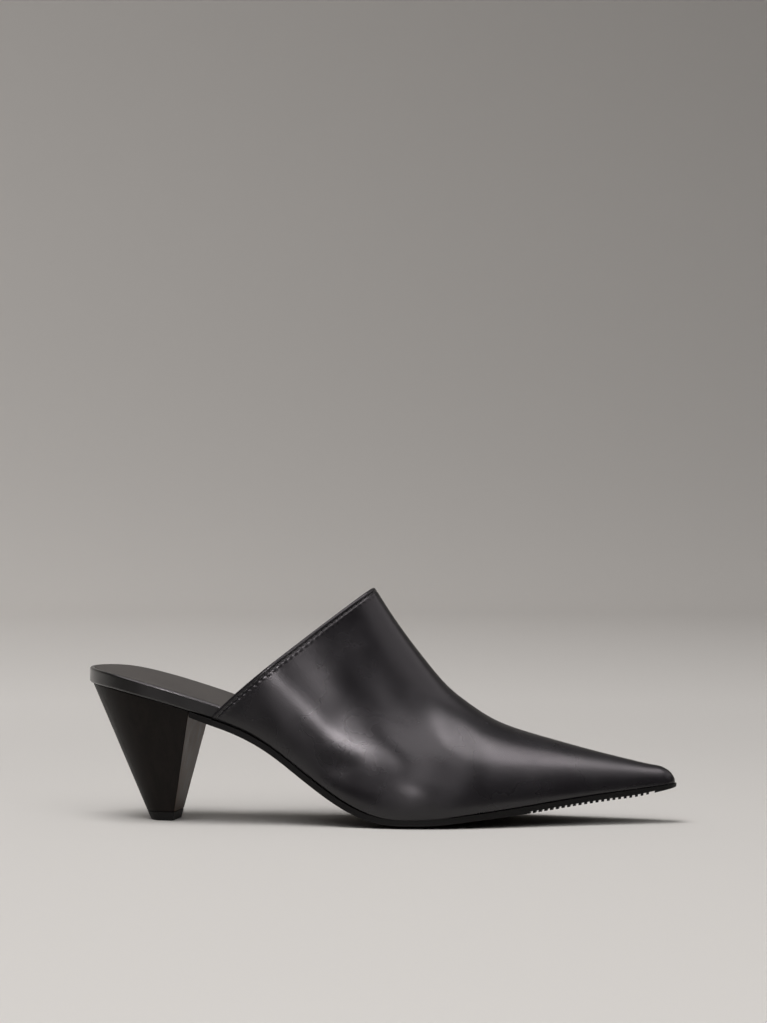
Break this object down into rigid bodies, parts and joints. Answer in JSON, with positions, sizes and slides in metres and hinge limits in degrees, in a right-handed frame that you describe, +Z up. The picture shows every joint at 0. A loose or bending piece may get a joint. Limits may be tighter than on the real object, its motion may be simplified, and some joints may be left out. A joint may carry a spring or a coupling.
{
  "type": "heeled mule",
  "caption": "Pointed-toe leather mule with a slanting topline, open back and tapering conical heel, right shoe",
  "frame": {"origin": "centre of the bounding box on the floor that the shoe stands on", "axes": "+X to the toe, +Y to the inner side of the foot, +Z up"},
  "size_m": [0.2658, 0.081, 0.1052],
  "materials": {
    "upper_leather": "smooth black leather, semi-gloss",
    "sole_rubber": "matte black",
    "band_leather": "smooth black leather wrapped over board",
    "sock_leather": "fine-grained brown-black lining leather",
    "heel_wood": "matte black stain, grey-brown breast",
    "tip_rubber": "matte black"
  },
  "bodies": {
    "root": {"upper": "upper_leather", "outsole": "sole_rubber", "insole_board": "band_leather", "sock_lining": "sock_leather", "heel": "heel_wood", "top_piece": "tip_rubber"}
  },
  "joints": []
}
